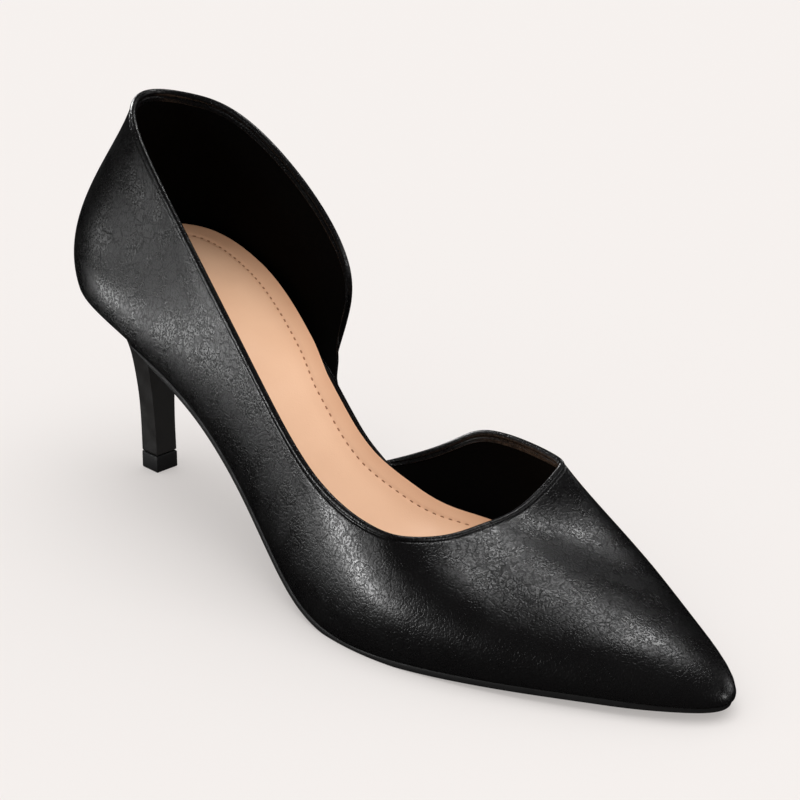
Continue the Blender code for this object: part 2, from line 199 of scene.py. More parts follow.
class PumpColours(bpy.types.PropertyGroup):
    """Colours of the pump, of the floor and of the floor's own light."""

    leather: colour("Leather", "Upper and wrapping", (0.0045, 0.0043, 0.0046))
    # The heel's colour is its black leather lightened by a painted reflection of the floor on its smooth sides.
    heel: colour("Heel", "Smooth leather of the heel cover", (0.02, 0.0195, 0.019))
    lining: colour("Lining", "Suede lining and facing", (0.0012, 0.0011, 0.001))
    sock: colour("Sock", "Nude leather sock", (0.92, 0.575, 0.372))
    # Painted shade: the colour that the sock darkens to towards its edge, beside the walls.
    sock_edge_painted_shade: colour("Sock edge", "Sock near its edge", (0.7, 0.38, 0.22))
    thread: colour("Thread", "Stitches of the sock", (0.36, 0.16, 0.075))
    rubber: colour("Rubber", "Outsole and top piece", (0.01, 0.01, 0.0105))
    floor: colour("Floor", "Floor and backdrop", (0.457, 0.449, 0.445))
    glow: colour("Glow", "Light that comes through the floor's sheet", (0.369, 0.352, 0.342))


def cubic_spline(knots, values, closed):
    """A function for the cubic spline through values: periodic if closed, otherwise with straight ends."""
    knots = np.asarray(knots, float)
    values = np.asarray(values, float).reshape(len(knots), -1)
    steps = np.diff(knots)
    slopes = np.diff(values, axis=0) / steps[:, None]
    count = len(steps) if closed else len(knots)
    matrix = np.eye(count)
    right = np.zeros((count, values.shape[1]))
    for i in range(0 if closed else 1, len(steps)):
        matrix[i] = 0
        matrix[i, i - 1] += steps[i - 1]
        matrix[i, i] += 2 * (steps[i - 1] + steps[i])
        matrix[i, (i + 1) % count] += steps[i]
        right[i] = 6 * (slopes[i] - slopes[i - 1])
    bends = np.linalg.solve(matrix, right)
    if closed:
        bends = np.vstack([bends, bends[:1]])

    def at(places):
        places = np.asarray(places, float)
        if closed:
            places = knots[0] + np.mod(places - knots[0], knots[-1] - knots[0])
        i = np.clip(np.searchsorted(knots, places, side="right") - 1, 0, len(steps) - 1)
        step = steps[i][:, None]
        before = ((places - knots[i])[:, None]) / step
        after = 1 - before
        line = after * values[i] + before * values[i + 1]
        bend = (after**3 - after) * bends[i] + (before**3 - before) * bends[i + 1]
        return line + bend * step**2 / 6

    return at


def smooth(value):
    """Rises from 0 to 1 as value does, level at both ends."""
    value = np.clip(value, 0, 1)
    return value * value * (3 - 2 * value)


def bell(away, width):
    """1 where away is 0, falling off over this width on both sides."""
    return np.exp(-((away / width) ** 2))


def unit(vectors):
    """The same directions, each of length 1."""
    return vectors / np.linalg.norm(vectors, axis=-1, keepdims=True)


def run_along(line):
    """How far each point of a line is from its first, measured along it."""
    return np.concatenate([[0], np.cumsum(np.linalg.norm(np.diff(line, axis=0), axis=1))])


def bezier(first, leave, arrive, end, share):
    """The cubic Bezier curve from first to end, steered by the two points between them."""
    rest = 1 - share
    return rest**3 * first + 3 * rest**2 * share * leave + 3 * rest * share**2 * arrive + share**3 * end


def column(name):
    """One column of the upper's table."""
    return np.array([row[WALL_COLUMNS.index(name)] for row in WALL_ROWS.values()], float)


class Last:
    """The surfaces that every piece of the pump is built on, worked out from the pump's sizes."""

    def __init__(self, sizes):
        self.sizes = sizes
        half_ball = sizes.ball_width / 2
        foot = np.column_stack([
            np.append(column("along"), BARE_WAIST[0]) * sizes.length / 100,
            np.append(column("across"), BARE_WAIST[1]) * half_ball / 100,
        ])
        foot = np.vstack([foot, foot[:1]])
        steps = np.sqrt(np.linalg.norm(np.diff(foot, axis=0), axis=1))
        self.round = np.concatenate([[0], np.cumsum(steps)])
        self.foot_curve = cubic_spline(self.round, foot, closed=True)
        self.wall_start, self.wall_end = self.round[0], self.round[-3]
        self.back = self.round[list(WALL_ROWS).index("back")]
        self.top_curve = cubic_spline(self.round[:-2], np.column_stack([
            column("top_along") * sizes.length / 100,
            column("top_across") * half_ball / 100,
            column("top_height") * sizes.collar_height / 100,
            np.radians(column("lean")),
            column("foot_reach") * MM,
            np.radians(column("slope")),
            column("top_reach") * MM,
        ]), closed=False)
        self.profile = cubic_spline(
            [place * sizes.length / 100 for place, _ in SIDE_PROFILE],
            [height * sizes.heel_height / 100 for _, height in SIDE_PROFILE],
            closed=False,
        )
        # The CAD frame says where the last stands in the scene.
        places = np.linspace(self.wall_start, self.wall_end, 116)
        level = np.tile(np.linspace(0, 1, 11), (len(places), 1))
        outer = self.wall(places, level)
        shell = np.concatenate([outer, outer - sizes.wall * self.normals(places, level)])
        low, high = shell.min(axis=(0, 1)), shell.max(axis=(0, 1))
        corner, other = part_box("upper")
        self.middle = np.array([
            (low[0] + high[0] + corner.y + other.y) / 2,
            (low[1] + high[1] - corner.x - other.x) / 2,
        ])

    def place(self, points):
        """Points of the last in the scene: X is across, Y runs back from the toe."""
        along, across, up = np.moveaxis(np.asarray(points, float), -1, 0)
        return np.stack([across - self.middle[1], self.middle[0] - along, up], axis=-1)

    def edge_height(self, along, across):
        """Height of the upper's lower edge: the side profile, twisted at the waist."""
        length = self.sizes.length
        along = np.asarray(along, float)
        level = self.profile(np.clip(along, 0, length).ravel())[:, 0].reshape(along.shape)
        return level + WAIST_TWIST * across * bell(along / length * 100 - TWIST_AT, TWIST_LENGTH)

    def lifted(self, plan, gap=0):
        """Points in plan, lifted to the upper's lower edge or to a gap under it."""
        return np.column_stack([plan, self.edge_height(plan[:, 0], plan[:, 1]) - gap])

    def upright(self, along):
        """Vertical depth of one unit of thickness where the foot's surface slopes."""
        step = 0.5 * MM
        rise = self.edge_height(along + step, 0 * along) - self.edge_height(along - step, 0 * along)
        return np.hypot(1, rise / (2 * step))

    def foot_line(self, places):
        """Points on the upper's lower edge, and the outward directions there."""
        plan = self.foot_curve(places)
        run = self.foot_curve(places + NUDGE) - self.foot_curve(places - NUDGE)
        return self.lifted(plan), unit(np.column_stack([run[:, 1], -run[:, 0]]))

    def wall(self, places, levels):
        """The upper's outside: a cubic Bezier curve at each place, read at levels that are 0 at the foot."""
        foot, outward = self.foot_line(places)
        section = self.top_curve(places)
        top = section[:, :3]
        lean, foot_reach, slope, top_reach = section[:, 3:].T[:, :, None]
        # The last 12 mm make the direction steady where the top edge stands straight over the foot.
        fall = unit(foot[:, :2] - top[:, :2] + 12 * MM * outward)
        low = foot + foot_reach * np.hstack([outward * np.sin(lean), np.cos(lean)])
        high = top + top_reach * np.hstack([fall * np.cos(slope), -np.sin(slope)])
        return bezier(foot[:, None], low[:, None], high[:, None], top[:, None], levels[..., None])

    def normals(self, places, levels):
        """Outward unit normals of the wall: the cross product of its two directions."""
        levels = np.clip(levels, NUDGE, 1 - NUDGE)
        round_shoe = self.wall(places + NUDGE, levels) - self.wall(places - NUDGE, levels)
        upwards = self.wall(places, levels + NUDGE) - self.wall(places, levels - NUDGE)
        return unit(np.cross(round_shoe, upwards))

    def skin(self, places, down, share, depth):
        """Points at a distance under the top edge and a depth in from the outside.

        The distance is down, in metres, plus share times the wall's own height along the surface. Where the
        wall is lower than 9 mm, down is scaled to fit. Beyond the top edge the wall goes straight on.
        """
        steps = np.tile(np.linspace(1, 0, 160), (len(places), 1))
        line = self.wall(places, steps)
        run = np.cumsum(np.linalg.norm(np.diff(line, axis=1), axis=2), axis=1)
        run = np.hstack([np.zeros((len(places), 1)), run])
        height = run[:, -1:]
        distance = down * np.clip(height / (9 * MM), 0.05, 1) + share * height
        i = np.clip((run[:, None, :] < distance[:, :, None]).sum(axis=2) - 1, 0, run.shape[1] - 2)
        before = np.take_along_axis(run, i, axis=1)
        after = np.take_along_axis(run, i + 1, axis=1)
        part = np.clip((distance - before) / (after - before), 0, 1)
        levels = 1 - (i + part) / (run.shape[1] - 1)
        beyond = np.clip(-distance, 0, None)
        upward = unit(line[:, 0] - line[:, 1])
        return (
            self.wall(places, levels) + beyond[..., None] * upward[:, None]
            - depth[..., None] * self.normals(places, levels)
        )

    def inside_room(self, places, depth):
        """Distance in from the foot line at which the upper's inside is clear of a piece as deep as this."""
        levels = np.tile(np.linspace(0, 1, 40), (len(places), 1))
        inner = self.wall(places, levels) - self.sizes.wall * self.normals(places, levels)
        foot, outward = self.foot_line(places)
        inward = -((inner[..., :2] - foot[:, None, :2]) * outward[:, None]).sum(axis=2)
        low = inner[..., 2] - foot[:, None, 2] < depth[:, None]
        return np.where(low, inward, 0).max(axis=1) + self.sizes.gap

    def outline(self, depth, bare_inset):
        """Plan outline of a piece clear of the upper's wall, easing towards bare_inset at the waist."""
        places = np.linspace(self.round[0], self.round[-1], 900, endpoint=False)
        foot, outward = self.foot_line(places)
        bare = places > self.wall_end
        past, short = places - self.wall_end, self.round[-1] - places
        walled = np.where(bare, np.maximum(smooth(1 - past), smooth(1 - short)), 1)
        within = np.where(bare, np.where(short < past, self.wall_start, self.wall_end), places)
        room = self.inside_room(within, depth * self.upright(foot[:, 0]) + 1.2 * MM)
        # The most that is needed nearby, and then its mean, leave no kink in the outline.
        nearby = range(-6, 7)
        room = np.max([np.roll(room, shift) for shift in nearby], axis=0)
        room = np.mean([np.roll(room, shift) for shift in nearby], axis=0)
        inset = walled * room + (1 - walled) * bare_inset
        return foot[:, :2] - inset[:, None] * outward


def welded(quads):
    """Quads as lists; one with two welded corners becomes a triangle, and a flatter one is left out."""
    same = quads == np.roll(quads, -1, axis=1)
    folds = same.sum(axis=1)
    triangles = quads[folds == 1][~same[folds == 1]].reshape(-1, 3)
    return quads[folds == 0].tolist() + triangles.tolist()


def grid_quads(index):
    """The quads between neighbouring rows and columns of a grid of vertex numbers."""
    return np.stack([index[:-1, :-1], index[1:, :-1], index[1:, 1:], index[:-1, 1:]], axis=-1).reshape(-1, 4)


def signed_volume(points, faces):
    """Six times the volume that the faces close in, negative if they look inwards."""
    triangles = np.array([(face[0], face[i], face[i + 1]) for face in faces for i in range(1, len(face) - 1)])
    first, second, third = points[triangles].transpose(1, 0, 2)
    return np.einsum("ij,ij->", first, np.cross(second, third))


def add_piece(name, points, faces, material, nodes=(), attributes=()):
    """One closed piece, facing outwards, that rides on the root body and stands for these CAD nodes."""
    points = np.asarray(points, float).reshape(-1, 3)
    faces = list(faces)
    if signed_volume(points, faces) < 0:
        faces = [face[::-1] for face in faces]
    used, place = np.unique(np.concatenate([np.array(face) for face in faces]), return_inverse=True)
    ends = np.cumsum([len(face) for face in faces])[:-1]
    mesh = bpy.data.meshes.new(name)
    mesh.from_pydata(points[used], [], [part.tolist() for part in np.split(place, ends)])
    for attribute, values in dict(attributes).items():
        layer = mesh.attributes.new(attribute, "FLOAT", "POINT")
        layer.data.foreach_set("value", np.asarray(values, float).ravel()[used])
    mesh.shade_smooth()
    mesh.set_sharp_from_angle(angle=math.radians(SHARP_ANGLE))
    mesh.materials.append(material)
    piece = bpy.data.objects.new(name, mesh)
    bpy.context.scene.collection.objects.link(piece)
    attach(piece, "root")
    if nodes:
        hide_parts(*nodes)
    return piece


def tube_faces(sections, columns):
    """Faces of a skin of closed sections, capped at both ends."""
    index = np.arange(sections * columns).reshape(sections, columns)
    index = np.hstack([index, index[:, :1]])
    return grid_quads(index).tolist() + [index[0, :-1].tolist(), index[-1, -2::-1].tolist()]


class Finish:
    """One material: a Principled shader and the procedural nodes that feed it."""

    def __init__(self, name, base, roughness, sockets=()):
        self.material = bpy.data.materials.new(name)
        self.material.use_nodes = True
        self.tree = self.material.node_tree
        self.shader = self.tree.nodes["Principled BSDF"]
        self.shader.inputs["Base Color"].default_value = (*base, 1)
        self.shader.inputs["Roughness"].default_value = roughness
        for socket, value in dict(sockets).items():
            self.shader.inputs[socket].default_value = value
        self.place = self.node("TexCoord").outputs["Object"]

    def node(self, kind, inputs=(), **settings):
        """A new node; each of its inputs takes a number or another node's output."""
        made = self.tree.nodes.new("ShaderNode" + kind)
        for name, value in settings.items():
            setattr(made, name, value)
        for socket, value in dict(inputs).items():
            if isinstance(value, bpy.types.NodeSocket):
                self.tree.links.new(value, made.inputs[socket])
            else:
                made.inputs[socket].default_value = value
        return made

    def noise(self, across, detail=2.0, distortion=0.0):
        """Soft noise whose blots are about this wide, in metres."""
        inputs = {"Vector": self.place, "Scale": 1 / across, "Detail": detail, "Distortion": distortion}
        return self.node("TexNoise", inputs).outputs["Fac"]

    def ramp(self, value, start, end, low, high):
        """value from start to end, eased to low to high."""
        inputs = {"Value": value, "From Min": start, "From Max": end, "To Min": low, "To Max": high}
        return self.node("MapRange", inputs, interpolation_type="SMOOTHSTEP").outputs["Result"]

    def maths(self, operation, first, second=0.0):
        """One sum of two numbers or outputs."""
        return self.node("Math", {0: first, 1: second}, operation=operation).outputs["Value"]

    def patchy(self, across, low, high, detail=3.0):
        """A value that wanders from low to high, over blots about this wide."""
        return self.ramp(self.noise(across, detail), 0.3, 0.7, low, high)

    def feed(self, socket, output):
        """Links an output to a socket of the shader."""
        self.tree.links.new(output, self.shader.inputs[socket])

    def bump(self, height, depth):
        """Raises the surface by depth, in metres, where height is 1."""
        inputs = {"Height": height, "Distance": depth, "Strength": 1.0}
        self.feed("Normal", self.node("Bump", inputs).outputs["Normal"])


def grained_leather(name, base, grain, roughness, depth):
    """Semi-gloss leather, embossed with curled lines a grain apart and crossed by faint creases."""
    finish = Finish(name, base, roughness)
    curls = finish.ramp(finish.noise(0.68 * grain, 0.0, 0.5), 0.36, 0.56, 0.0, 1.0)
    cells = finish.node(
        "TexVoronoi", {"Vector": finish.place, "Scale": 1 / (4 * grain)}, feature="DISTANCE_TO_EDGE"
    ).outputs["Distance"]
    creases = finish.ramp(cells, 0.0, 0.08, 0.0, 1.0)
    height = finish.maths("ADD", curls, finish.maths("MULTIPLY", creases, 0.6))
    height = finish.maths("ADD", height, finish.maths("MULTIPLY", finish.noise(0.3 * grain, 2.0), 0.2))
    finish.bump(height, depth)
    # The lines are duller than the leather that stands between them.
    shine = finish.maths("MULTIPLY", finish.maths("ADD", curls, 1.5), finish.maths("ADD", creases, 1.5))
    finish.feed("Specular IOR Level", finish.maths("MULTIPLY", shine, 0.075))
    dull = finish.maths("MULTIPLY", finish.maths("SUBTRACT", 1.0, curls), 0.06)
    patchy = finish.patchy(9 * MM, roughness - 0.03, roughness + 0.04)
    finish.feed("Roughness", finish.maths("ADD", dull, patchy))
    return finish.material


def smooth_leather(name, base, roughness):
    """Plain black leather, stretched over a hard core, with the faintest pores."""
    finish = Finish(name, base, roughness, {"Specular IOR Level": 0.4})
    finish.bump(finish.noise(0.7 * MM, 3.0), 0.03 * MM)
    finish.feed("Roughness", finish.patchy(6 * MM, roughness - 0.05, roughness + 0.08))
    return finish.material


def suede(name, base):
    """Matte lining with a short nap."""
    finish = Finish(name, base, 0.9, {"Specular IOR Level": 0.08})
    nap = finish.maths("ADD", finish.noise(0.35 * MM, 3.0), finish.noise(3 * MM, 2.0))
    finish.bump(nap, 0.05 * MM)
    return finish.material


def nude_leather(name, base, edge):
    """Smooth leather of the sock, with painted shade that makes it a little browner and darker where its rim
    attribute nears 1, at the edge.
    """
    finish = Finish(name, base, 0.48, {"Specular IOR Level": 0.35})
    painted_shade_rim = finish.node("Attribute", attribute_name="painted_shade_rim").outputs["Fac"]
    # The rim attribute mixes in painted shade towards the sock's edge, and the blots add random patches of the
    # same browner tone.
    blot = finish.ramp(finish.noise(16 * MM, 3.0), 0.35, 0.75, 0.0, 0.14)
    share = finish.maths("ADD", finish.ramp(painted_shade_rim, 0.45, 1.05, 0.0, 0.75), blot)
    mix = finish.node("Mix", {"Factor": share, 6: (*base, 1), 7: (*edge, 1)}, data_type="RGBA")
    finish.feed("Base Color", mix.outputs[2])
    pores = finish.maths("ADD", finish.noise(0.5 * MM, 3.0), finish.noise(7 * MM, 2.0))
    finish.bump(pores, 0.035 * MM)
    finish.feed("Roughness", finish.patchy(5 * MM, 0.42, 0.54))
    return finish.material


def sewing_thread(name, base):
    """Matte thread with fine uneven fibres."""
    finish = Finish(name, base, 0.6, {"Sheen Weight": 0.3})
    finish.bump(finish.noise(0.25 * MM, 2.0), 0.04 * MM)
    finish.feed("Roughness", finish.patchy(0.6 * MM, 0.5, 0.7, 2.0))
    return finish.material


def rubber(name, base):
    """Matte sole rubber with a fine moulded grain."""
    finish = Finish(name, base, 0.55, {"Specular IOR Level": 0.2})
    cells = finish.node("TexVoronoi", {"Vector": finish.place, "Scale": 1 / (0.8 * MM)}).outputs["Distance"]
    finish.bump(finish.maths("ADD", cells, finish.noise(0.3 * MM, 3.0)), 0.03 * MM)
    finish.feed("Roughness", finish.patchy(4 * MM, 0.48, 0.64))
    return finish.material


def section(down, share, depth):
    """Rows of a section of the upper. Each of the three is a list, or one number for all the rows."""
    return np.column_stack(np.broadcast_arrays(down, share, depth))


def leather_section(sizes):
    """Closed section of the leather: (down, share, depth) from the foot up the outside, over the piping,
    down the facing inside to its ridge, and back to the foot between leather and lining."""
    roll, fold, leather, wall = sizes.edge_roll, sizes.fold, sizes.leather, sizes.wall
    tuck = np.array([(0, 1.0), (0, 0.75), (-0.05, 0.5), (-0.2, 0.25), (-0.5, 0.07)])
    foot = section(tuck[:, 0] * MM, 1, tuck[:, 1] * leather)
    share = np.linspace(1, 0, 52)
    outside = section(-share * MM + (1 - share) * 2.6 * roll, share, 0)
    groove = np.array([(2.4, 0.03), (2.15, 0.16), (1.95, 0.34), (1.75, 0.32)])
    groove = section(groove[:, 0] * roll, 0, groove[:, 1] * MM)
    turn = np.radians(np.linspace(-44, 224, 22))
    swell = 1.04 * roll
    bead = section(roll - swell * np.sin(turn), 0, wall / 2 - swell * np.cos(turn))
    facing = np.array([
        (1.75 * roll, 0.9 * wall), (1.95 * roll, 0.92 * wall), (2.15 * roll, 1.04 * wall),
        (2.4 * roll, 1.1 * wall), (fold - 0.8 * MM, 1.12 * wall), (fold - 0.45 * MM, 1.15 * wall),
        (fold - 0.2 * MM, 1.22 * wall), (fold, 1.2 * wall), (fold + 0.12 * MM, 1.08 * wall),
        (fold + 0.15 * MM, 0.85 * wall), (fold + 0.15 * MM, leather),
    ])
    facing = section(facing[:, 0], 0, facing[:, 1])
    share = np.linspace(0, 1, 13)[1:-1]
    hidden = section((1 - share) * (fold + 0.15 * MM), share, leather)
    return np.vstack([foot, outside, groove, bead, facing, hidden])


def lining_section(sizes):
    """Closed section of the lining, from under the facing's ridge down the inside to the foot and back up."""
    fold, inner, wall = sizes.fold + 0.2 * MM, sizes.leather + 0.05 * MM, sizes.wall
    top = np.array([(fold, 0, inner), (fold, 0, wall - 0.3 * MM), (fold + 0.08 * MM, 0, wall - 0.08 * MM)])
    share = np.linspace(0, 1, 44)
    inside = section((1 - share) * (fold + 0.25 * MM), share, wall)
    share = share[::-4][1:]
    hidden = section((1 - share) * (fold + 0.25 * MM), share, inner)
    return np.vstack([top, inside, [(0, 1, inner)], hidden])


def plate(last, edges, toward, half, shape, weld_start, weld_end):
    """Points and faces of a shoe-shaped plate of bent rungs.

    Each rung runs from the middle line out over the top to the edge, and back underneath. edges holds the two
    edges in plan, toward the middle line's points that the rungs run to. half lists, from the top's middle to
    the underside's, (inset from the edge in metres, share of what is left to the middle, layer). shape gives
    the height and the rim of (along, across, reach, layer), where reach is 1 at the edge and 0 at the middle.
    """
    insets, shares, layers = np.asarray(half, float).T
    sides, painted_shade_rims = [], []
    for edge in edges:
        way = toward - edge
        length = np.linalg.norm(way, axis=1)[:, None]
        part = insets / length
        # It nears 1 softly, so that no inset reaches past the middle line.
        part = part / (1 + np.abs(part) ** 6) ** (1 / 6)
        part = part + (1 - part) * shares
        plan = edge[:, None] + part[..., None] * way[:, None]
        reach = 1 - part
        height, painted_shade_rim = shape(plan[..., 0], plan[..., 1], reach, layers)
        sides.append(np.concatenate([plan, height[..., None]], axis=-1))
        painted_shade_rims.append(painted_shade_rim)
    rows, columns = sides[0].shape[:2]
    index = np.arange(2 * rows * columns).reshape(2, rows, columns)
    index[1, :, 0], index[1, :, -1] = index[0, :, 0], index[0, :, -1]
    caps = []
    for row, weld in ((0, weld_start), (-1, weld_end)):
        if weld:
            index[1, row] = index[0, row]
        else:
            loop = np.concatenate([index[0, row], index[1, row, -2:0:-1]])
            caps.append(loop.tolist() if row else loop[::-1].tolist())
    faces = welded(np.concatenate([grid_quads(index[0]), grid_quads(index[1])[:, ::-1]]))
    return last.place(np.stack(sides)).reshape(-1, 3), faces + caps, np.stack(painted_shade_rims)


def rung_edges(outline, start, end, fan, rows, ease_end):
    """The two edges of an outline at stations from start to end, and the middle line that its rungs run to.

    Stations crowd towards the rounded ends. Near an end the middle line stops fan short of it, so that the
    rungs there spread like a fan.
    """
    turned = np.roll(outline, -np.argmin(outline[:, 0]), axis=0)
    tip = np.argmax(turned[:, 0])
    halves = [turned[: tip + 1], np.vstack([turned[tip:], turned[:1]])[::-1]]
    start = max(start, turned[0, 0])
    end = min(end, turned[tip, 0])
    turn = np.linspace(0, math.pi if ease_end else math.pi / 2, rows)
    rise = (1 - np.cos(turn)) / (2 if ease_end else 1)
    along = start + (end - start) * rise
    edges = []
    for half in halves:
        ordered = np.maximum.accumulate(half[:, 0])
        edges.append(np.column_stack([along, np.interp(along, ordered, half[:, 1])]))
    middle = (edges[0][:, 1] + edges[1][:, 1]) / 2
    first, last_place = start + fan[0], end - fan[1]
    inner = np.where(along < first, first - 0.12 * (first - along), along)
    inner = np.where(inner > last_place, last_place + 0.12 * (inner - last_place), inner)
    return edges, np.column_stack([inner, np.interp(inner, along, middle)])


def given(context):
    """What a piece is built from: the scene's sizes and colours of the pump, and its last."""
    sizes = context.scene.pump_sizes
    return sizes, context.scene.pump_colours, Last(sizes)


class PUMP_OT_upper(bpy.types.Operator):
    """Build the leather upper with its piped edge and facing, and its lining"""

    bl_idname = "pump.upper"
    bl_label = "Upper and lining"

    def execute(self, context):
        sizes, colours, last = given(context)
        # The sections stand closer together near the back seam.
        near = 0.12
        even = np.linspace(last.wall_start, last.wall_end, 700)
        seam = last.back + np.linspace(-near, near, 33)
        places = np.unique(np.concatenate([even[np.abs(even - last.back) > near], seam]))
        down, share, depth = leather_section(sizes).T
        # The back seam is a fine furrow with a low ridge on each side.
        pace = np.linalg.norm(last.foot_curve([last.back + NUDGE]) - last.foot_curve([last.back - NUDGE]))
        away = np.abs(places - last.back)[:, None] * pace / (2 * NUDGE)
        furrow = 0.3 * MM * bell(away, 0.35 * MM)
        ridges = 0.1 * MM * bell(away - 1.1 * MM, 0.7 * MM)
        outside = (share > 0) & (depth < 0.5 * sizes.leather)
        depth = depth[None] + (furrow - ridges) * outside
        points = last.skin(places, down, share, depth)
        # The leather's lowest third hangs over the sole, which eases in from 42 to 62 percent of the length.
        fore = smooth((points[..., 0] / sizes.length - 0.42) / 0.2)
        points[..., 2] -= sizes.overhang * fore * smooth((share - 0.7) / 0.3)
        material = grained_leather("grained_leather", colours.leather, sizes.grain, 0.27, 0.026 * MM)
        faces = tube_faces(*points.shape[:2])
        add_piece("upper_leather", last.place(points), faces, material, ["upper"])

        places = np.linspace(last.wall_start, last.wall_end, 520)
        down, share, depth = lining_section(sizes).T
        points = last.skin(places, down, share, np.tile(depth, (len(places), 1)))
        lining = suede("suede_lining", colours.lining)
        add_piece("lining", last.place(points), tube_faces(*points.shape[:2]), lining)
        return {"FINISHED"}


def dish(sizes, along, reach):
    """How far the insole's edges ride up: the fourth power of reach, gone by 80 percent of the length."""
    ahead = (along - 0.68 * sizes.length) / (0.12 * sizes.length)
    return sizes.sock_dish * np.clip(reach, 0, 1.02) ** 4 * (1 - smooth(ahead))


def bare_waist(sizes, along, across):
    """1 along the inside of the waist, from 35 to 43 percent of the length, easing to 0 round it."""
    share = along / sizes.length
    return smooth((share - 0.3) / 0.05) * (1 - smooth((share - 0.43) / 0.05)) * smooth(across / (8 * MM))


def insole_depth(sizes, along):
    """Thickness of the insole board: thicker by the heel's pad to 17 percent of the length, even from 32."""
    return sizes.board + sizes.seat_pad * (1 - smooth((along / sizes.length - 0.17) / 0.15))


class PUMP_OT_insole(bpy.types.Operator):
    """Build the wrapped insole board with its bead, and the stitched sock on it"""

    bl_idname = "pump.insole"
    bl_label = "Insole board and sock"

    def execute(self, context):
        sizes, colours, last = given(context)
        leather = smooth_leather("wrapping_leather", colours.leather, 0.38)
        self.board(last, sizes, leather)
        self.sock(last, sizes, colours)
        return {"FINISHED"}

    def board(self, last, sizes, material):
        """A plate with a bead round its top, highest along the bare waist, and a side band under it."""
        outline = last.outline(sizes.board, 0.0)
        outline[:, 1] += BARE_BOARD_OUT * bare_waist(sizes, *outline.T)
        edges, toward = rung_edges(outline, 0, BOARD_END * sizes.length, (26 * MM, 0), 300, False)
        inner = [(6 * MM, share, 0) for share in np.linspace(1, 0, 14)]
        # Inset from the edge and height over the board's top, in millimetres: up the bead and down the band
        shoulder = [
            (4.2, -0.12), (2.75, -0.05), (2.6, 0.3), (2.4, 1.0), (2.1, 1.6), (1.7, 1.85), (1.3, 1.7),
            (0.95, 1.1), (0.65, 0.35), (0.42, -0.3), (0.25, -0.85), (0.1, -1.12), (-0.08, -1.25),
            (-0.2, -1.45), (-0.2, -1.65), (-0.08, -1.85), (0.12, -1.95), (0.1, -2.3),
        ]
        side = [(inset * MM, 0, 1 + level) for inset, level in shoulder]
        under = [(0.1 * MM, 0, 9), (0.25 * MM, 0, 10), (0.8 * MM, 0, 10)]
        under += [(0.8 * MM, share, 10) for share in np.linspace(0, 1, 10)[1:]]

        def shape(along, across, reach, layer):
            base = last.edge_height(along, across)
            ride = dish(sizes, along, np.where(layer > 0, 1, reach * 1.04))
            top = base + insole_depth(sizes, along) * last.upright(along) + ride
            # The bead is a quarter as high where the upper's wall hides it as along the bare waist.
            step = np.where((layer > 0) & (layer < 5), (layer - 1) * MM, 0)
            step = np.where(step > 0, (0.25 + 0.8 * bare_waist(sizes, along, across)) * step, step)
            height = np.where(layer >= 9, base + (10 - layer) * 0.35 * MM, top + step)
            return height, reach

        made = plate(last, edges, toward, inner + side + under, shape, True, False)
        add_piece("wrapped_board", made[0], made[1], material, ["insole_board"])

    def sock(self, last, sizes, colours):
        """A sheet with rounded edges and a shallow channel for its stitches."""
        depth = sizes.board + sizes.seat_pad + sizes.gap + sizes.sock + sizes.sock_dish
        outline = last.outline(depth, sizes.sock_margin)
        outline[:, 1] -= BARE_SOCK_IN * bare_waist(sizes, *outline.T)
        edges, toward = rung_edges(outline, 0, SOCK_END * sizes.length, (22 * MM, 0), 420, False)
        inset = sizes.stitch_inset
        inner = [(inset + 3 * MM, share, 0) for share in np.linspace(1, 0, 20)]
        near = inset + np.array([2.2, 1.5, 1.1, 0.8, 0.5, 0.25, 0, -0.25, -0.5, -0.8, -1.1, -1.5, -2.2]) * MM
        top = inner + [(place, 0, 0) for place in near]
        top += [(place * MM, 0, 0) for place in (2.6, 1.9, 1.3, 0.8, 0.45)]
        # Inset in millimetres, and share of the thickness below the top
        edge = [(0.22, 0.06), (0.08, 0.2), (0.0, 0.42), (0.0, 0.7), (0.0, 0.92), (0.1, 1.0), (0.5, 1.0)]
        top += [(place * MM, 0, level) for place, level in edge]
        under = [(0.5 * MM, share, 1) for share in np.linspace(0, 1, 14)[1:]]

        def shape(along, across, reach, layer):
            upright = last.upright(along)
            base = last.edge_height(along, across) + (insole_depth(sizes, along) + sizes.gap) * upright
            height = base + dish(sizes, along, reach) + (1 - layer) * sizes.sock * upright
            return height, reach

        points, faces, painted_shade_rim = plate(last, edges, toward, top + under, shape, True, False)
        # The channel is a furrow at the stitch line's distance from the edge, far short of the middle line.
        half = np.array(top + under)
        middle = 20 * MM
        away = half[:, 0] * (1 - half[:, 1]) + half[:, 1] * middle - inset
        furrow = 0.35 * MM * bell(away, 0.75 * MM) * (half[:, 2] == 0)
        points = points.reshape(2, -1, len(half), 3)
        points[..., 2] -= furrow
        line = len(inner) + int(np.argmin(np.abs(near - inset)))
        path = np.vstack([points[0, ::-1, line], points[1, 1:, line]])
        material = nude_leather("nude_leather", colours.sock, colours.sock_edge_painted_shade)
        # The rim attribute carries the painted shade at the sock's edge.
        add_piece("sock", points, faces, material, ["sock"], attributes={"painted_shade_rim": painted_shade_rim})
        self.stitches(path, sizes, colours)

    def stitches(self, path, sizes, colours):
        """Capsules of thread at an even pitch along the channel."""
        run = run_along(path)
        half = sizes.stitch_length / 2
        where = np.arange(sizes.stitch_pitch, run[-1] - sizes.stitch_pitch, sizes.stitch_pitch)

        def at(places):
            return np.column_stack([np.interp(places, run, path[:, axis]) for axis in range(3)])

        ahead = unit(at(where + half) - at(where - half))
        beside = unit(np.cross(ahead, (0, 0, 1)))
        above = np.cross(beside, ahead)
        turn = np.linspace(0, 2 * math.pi, 8, endpoint=False)
